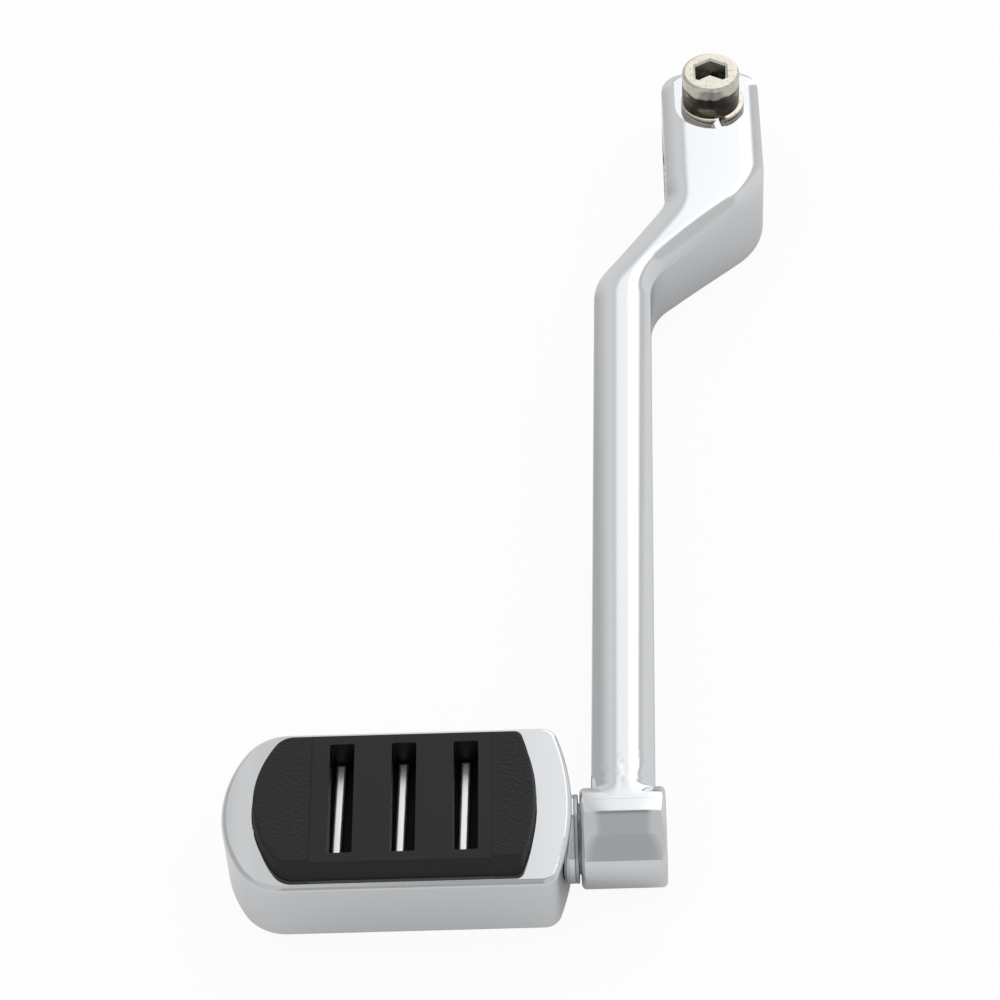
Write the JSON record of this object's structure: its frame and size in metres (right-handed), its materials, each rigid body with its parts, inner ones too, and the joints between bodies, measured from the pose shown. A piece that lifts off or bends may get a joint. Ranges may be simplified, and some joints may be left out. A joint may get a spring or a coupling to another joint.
{
  "type": "heel shift peg",
  "caption": "Chromed dogleg heel shift lever with a splined pinch clamp and a peg that carries a slotted rubber pad.",
  "frame": {"origin": "centre of the splined bore, at the middle of the clamp's width", "axes": "+X along the bore, away from the peg; +Y along the lever toward the clamp's slit end; +Z the way the pinch screw's head and the pad face"},
  "size_m": [0.1036, 0.2103, 0.0269],
  "materials": {
    "chromed_lever": "polished chrome plate on forged steel",
    "chromed_peg": "polished chrome plate on a casting",
    "nickel_screw": "bright nickel plated steel",
    "zinc_steel": "plain bright steel",
    "black_rubber": "moulded rubber, fine grain at the ends"
  },
  "bodies": {
    "root": {"shift_lever": "chromed_lever", "pinch_screw": "nickel_screw", "lock_washer": "nickel_screw", "peg_body": "chromed_peg", "peg_washer": "zinc_steel", "peg_stud": "zinc_steel", "peg_pad": "black_rubber"}
  },
  "joints": []
}
